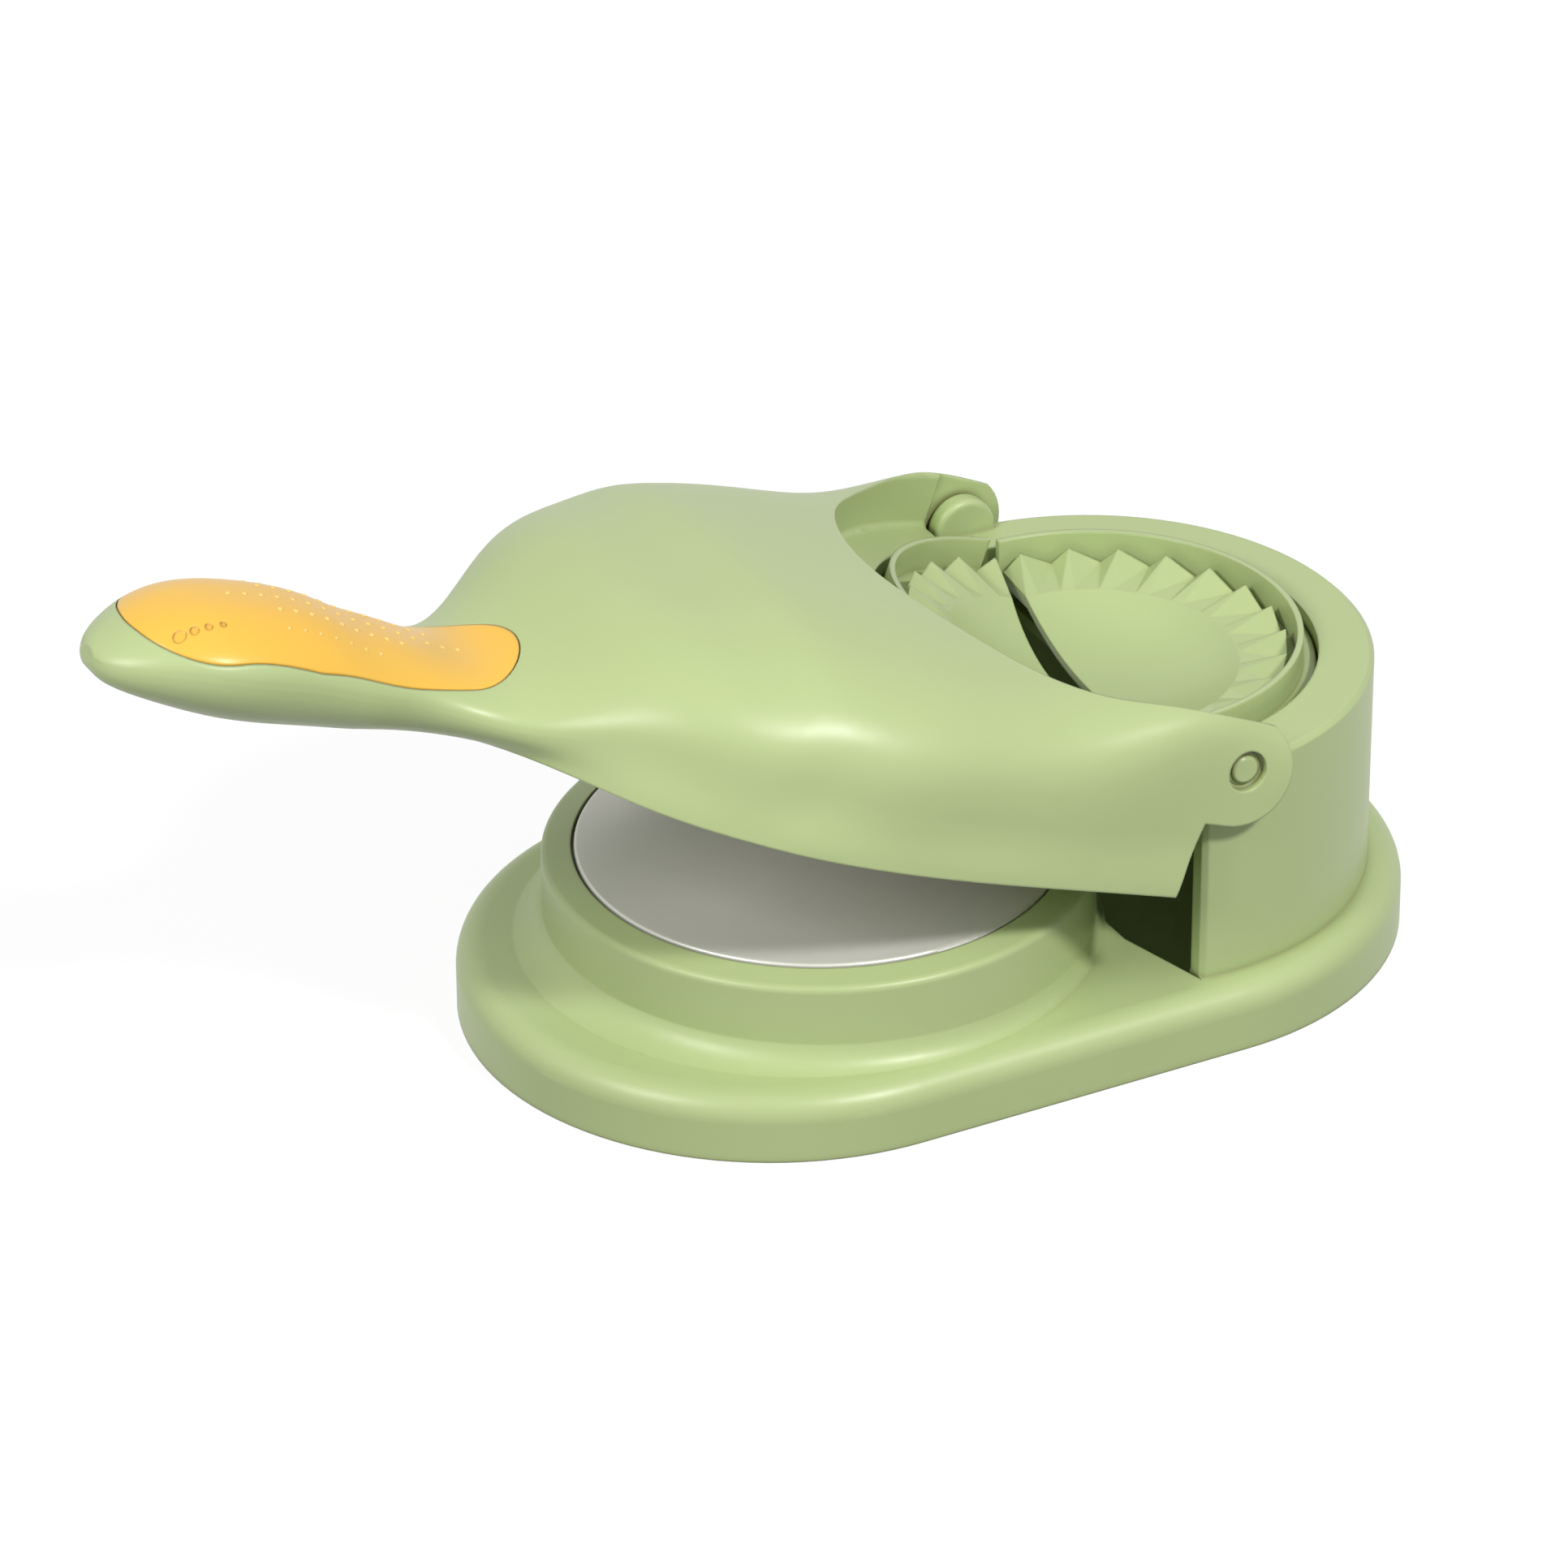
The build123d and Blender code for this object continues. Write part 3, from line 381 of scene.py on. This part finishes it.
# Each row: its place across the grip, its number of domes, by how many domes it is moved
# towards the tail, and the size of its domes.
pip_rows = (
    (-2, 7, 2.0, 0.75),
    (-1, 9, 1.0, 1.0),
    (0, 16, 0.0, 1.0),
    (1, 12, -0.5, 1.0),
    (2, 7, 2.0, 0.75),
)
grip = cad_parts["handle_grip"]
pips = []
for row, count, towards_tail, size in pip_rows:
    for n in range(count):
        reach = middle_pip + pip_pitch * (n - (count - 1) / 2 - towards_tail)
        across = Vector((0, row * pip_row_gap, 0))
        above = hinge + along_arm * reach + up_from_arm * above_grip + across
        found, point, normal, _ = grip.ray_cast(above, -up_from_arm)
        if not found:
            continue
        copy = pip.copy()
        copy.data = pip.data.copy()
        bpy.context.scene.collection.objects.link(copy)
        copy.matrix_world = (
            Matrix.Translation(point - normal * pip_sunk)
            @ normal.to_track_quat("Z", "Y").to_matrix().to_4x4()
            @ Matrix.Scale(size, 4)
        )
        pips.append(copy)
bpy.data.objects.remove(pip)
bpy.ops.object.select_all(action="DESELECT")
for piece in pips:
    piece.select_set(True)
bpy.context.view_layer.objects.active = pips[0]
bpy.ops.object.join()
grip_pips = bpy.context.object
grip_pips.name = "grip_pips"
bpy.ops.object.transform_apply(location=True, rotation=True, scale=True)
bpy.ops.object.select_all(action="DESELECT")
# The pips' material carries the painted highlight: paler yellows than the grip.
pip_plastic_painted_highlight = surfaced_material(
    "pip_plastic_painted_highlight", moulded_surface,
    Colour=pip_highlight_yellow, Pale_Colour=pip_highlight_yellow_pale, Rubbed_Colour=pip_highlight_yellow_rubbed,
    Gloss_Low=0.34, Gloss_High=0.40, Grain=0.02, Wear=0.4,
)
grip_pips.data.materials.clear()
grip_pips.data.materials.append(pip_plastic_painted_highlight)
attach(grip_pips, "arm")

# ---------------------------------------------------------------------------------------
# Screws: pan-head cross-recess screws in zinc-plated steel, driven up from below. They
# hold the covers, the mould halves and the grip. The plating has a faint warm bloom.
# ---------------------------------------------------------------------------------------
zinc = (0.640, 0.635, 0.610, 1.0)
zinc_bloom = (0.560, 0.530, 0.450, 1.0)


def plated_metal_group():
    """Bright plating with a cloudy bloom and duller, rounded corners."""
    group, given, out = surface_group("plated_metal")
    sockets_in(group, Plating=zinc, Bloom=zinc_bloom)
    place = group.nodes.new("ShaderNodeTexCoord")
    cloud = node_with(group, "ShaderNodeTexNoise", Scale=700.0, Detail=4.0, Roughness=0.65)
    grit = node_with(group, "ShaderNodeTexNoise", Scale=5200.0, Detail=2.0, Roughness=0.6)
    rounding = node_with(group, "ShaderNodeBevel", samples=4, Radius=0.00015)
    colour = node_with(group, "ShaderNodeMix", data_type="RGBA")
    gloss = node_with(group, "ShaderNodeMapRange", To_Min=0.24, To_Max=0.46)
    bump = node_with(group, "ShaderNodeBump", Strength=0.08, Distance=0.00002)
    link = group.links.new
    link(place.outputs["Object"], cloud.inputs["Vector"])
    link(place.outputs["Object"], grit.inputs["Vector"])
    link(cloud.outputs["Fac"], colour.inputs["Factor"])
    link(given.outputs["Plating"], colour.inputs["A"])
    link(given.outputs["Bloom"], colour.inputs["B"])
    link(cloud.outputs["Fac"], gloss.inputs["Value"])
    link(grit.outputs["Fac"], bump.inputs["Height"])
    link(rounding.outputs["Normal"], bump.inputs["Normal"])
    link(colour.outputs["Result"], out.inputs["Colour"])
    link(gloss.outputs["Result"], out.inputs["Roughness"])
    link(bump.outputs["Normal"], out.inputs["Normal"])
    return group


plated_metal = plated_metal_group()
screw_zinc = surfaced_material("screw_zinc", plated_metal, metallic=1.0)
finish_nodes(
    screw_zinc, "bottom_cover_screws", "fixed_mould_screws", "grip_screws",
    "underside_cover_screws", "moving_mould_screws",
)

# ---------------------------------------------------------------------------------------
# Feet: four round pads of dark grey rubber glued into seats in the bottom cover, so that
# the press does not slide while one leans on it. The rubber is matt and slightly dusty.
# ---------------------------------------------------------------------------------------
rubber = (0.090, 0.090, 0.087, 1.0)
rubber_dusty = (0.150, 0.150, 0.143, 1.0)
foot_rubber = surfaced_material(
    "foot_rubber", pitted_surface, Light=rubber_dusty, Dark=rubber, Pits_per_Metre=2600.0,
    Depth=0.25, Roughness_Low=0.62, Roughness_High=0.85,
)
finish_nodes(foot_rubber, "rubber_foot_1", "rubber_foot_2", "rubber_foot_3", "rubber_foot_4")

# ---------------------------------------------------------------------------------------
# Table: a plain white top that keeps the object's faint shadow and runs on into a white
# room. Both look white to the camera, to gloss and to anything clear, but light the
# object less than they look.
# ---------------------------------------------------------------------------------------
table_size = 6.0
table_bounced = (0.24, 0.24, 0.24, 1.0)
table_shaded = (0.13, 0.13, 0.13, 1.0)
table_glow = 0.90
room_light = 0.32
white = (1.0, 1.0, 1.0, 1.0)

bpy.ops.mesh.primitive_plane_add(size=table_size, location=(0, 0, 0))
table = bpy.context.object
table.name = "table"


def seen_directly(tree):
    """One for camera, glossy and transmission rays, and nought for all others."""
    path = tree.nodes.new("ShaderNodeLightPath")
    first = node_with(tree, "ShaderNodeMath", operation="MAXIMUM")
    both = node_with(tree, "ShaderNodeMath", operation="MAXIMUM")
    tree.links.new(path.outputs["Is Camera Ray"], first.inputs[0])
    tree.links.new(path.outputs["Is Glossy Ray"], first.inputs[1])
    tree.links.new(first.outputs[0], both.inputs[0])
    tree.links.new(path.outputs["Is Transmission Ray"], both.inputs[1])
    return both.outputs[0]


table_white = bpy.data.materials.new("table_white")
table_white.use_nodes = True
tree = table_white.node_tree
tree.nodes.clear()
bounced = node_with(tree, "ShaderNodeBsdfDiffuse", Color=table_bounced)
shaded = node_with(tree, "ShaderNodeBsdfDiffuse", Color=table_shaded)
glow = node_with(tree, "ShaderNodeEmission", Color=white, Strength=table_glow)
shown = tree.nodes.new("ShaderNodeAddShader")
choice = tree.nodes.new("ShaderNodeMixShader")
surface = tree.nodes.new("ShaderNodeOutputMaterial")
tree.links.new(shaded.outputs[0], shown.inputs[0])
tree.links.new(glow.outputs[0], shown.inputs[1])
tree.links.new(seen_directly(tree), choice.inputs["Fac"])
tree.links.new(bounced.outputs[0], choice.inputs[1])
tree.links.new(shown.outputs[0], choice.inputs[2])
tree.links.new(choice.outputs[0], surface.inputs["Surface"])
table.data.materials.append(table_white)

world = bpy.data.worlds.new("studio")
bpy.context.scene.world = world
world.use_nodes = True
tree = world.node_tree
sky = tree.nodes["Background"]
sky.inputs["Color"].default_value = white
strength = node_with(tree, "ShaderNodeMapRange", To_Min=room_light, To_Max=1.0)
tree.links.new(seen_directly(tree), strength.inputs["Value"])
tree.links.new(strength.outputs["Result"], sky.inputs["Strength"])

# ---------------------------------------------------------------------------------------
# Lamps and camera: a small, strong softbox in front and above draws the highlights and
# the edge of the arm's shadow, and a larger, weaker one stands on the left.
# ---------------------------------------------------------------------------------------
object_middle = Vector((0.0, 0.0, 0.05))
lamp_distance = 1.4


def softbox(name, azimuth, height, width, power):
    """A square lamp that faces the object. Its azimuth counts from the front, in degrees."""
    turned, raised = radians(azimuth), radians(height)
    away = Vector((sin(turned) * cos(raised), -cos(turned) * cos(raised), sin(raised)))
    lamp = bpy.data.lights.new(name, "AREA")
    lamp.size = width
    lamp.energy = power
    holder = bpy.data.objects.new(name, lamp)
    bpy.context.scene.collection.objects.link(holder)
    holder.location = object_middle + away * lamp_distance
    holder.rotation_euler = (-away).to_track_quat("-Z", "Y").to_euler()


softbox("softbox_right", azimuth=15, height=46, width=0.16, power=12.7)
softbox("softbox_left", azimuth=-75, height=37, width=0.45, power=9.3)

camera_azimuth = radians(-27.83)
camera_height = radians(29.83)
camera_roll = radians(-0.22)
camera_distance = 1.4302
camera_aim = Vector((0.0, 0.0, 0.02936))
camera_side = -0.00612
camera_rise = 0.00945
picture_size = 1932
focal_pixels = 10064.8
turn = (
    Matrix.Rotation(camera_azimuth, 4, "Z")
    @ Matrix.Rotation(pi / 2 - camera_height, 4, "X")
    @ Matrix.Rotation(camera_roll, 4, "Z")
)
lens = bpy.data.cameras.new("camera")
lens.sensor_width = 36.0
lens.lens = focal_pixels / picture_size * lens.sensor_width
lens.clip_start = 0.05
camera = bpy.data.objects.new("camera", lens)
bpy.context.scene.collection.objects.link(camera)
offset = Vector((camera_side, camera_rise, camera_distance))
camera.matrix_world = Matrix.Translation(camera_aim) @ turn @ Matrix.Translation(offset)
bpy.context.scene.camera = camera
bpy.context.scene.view_settings.view_transform = "Standard"
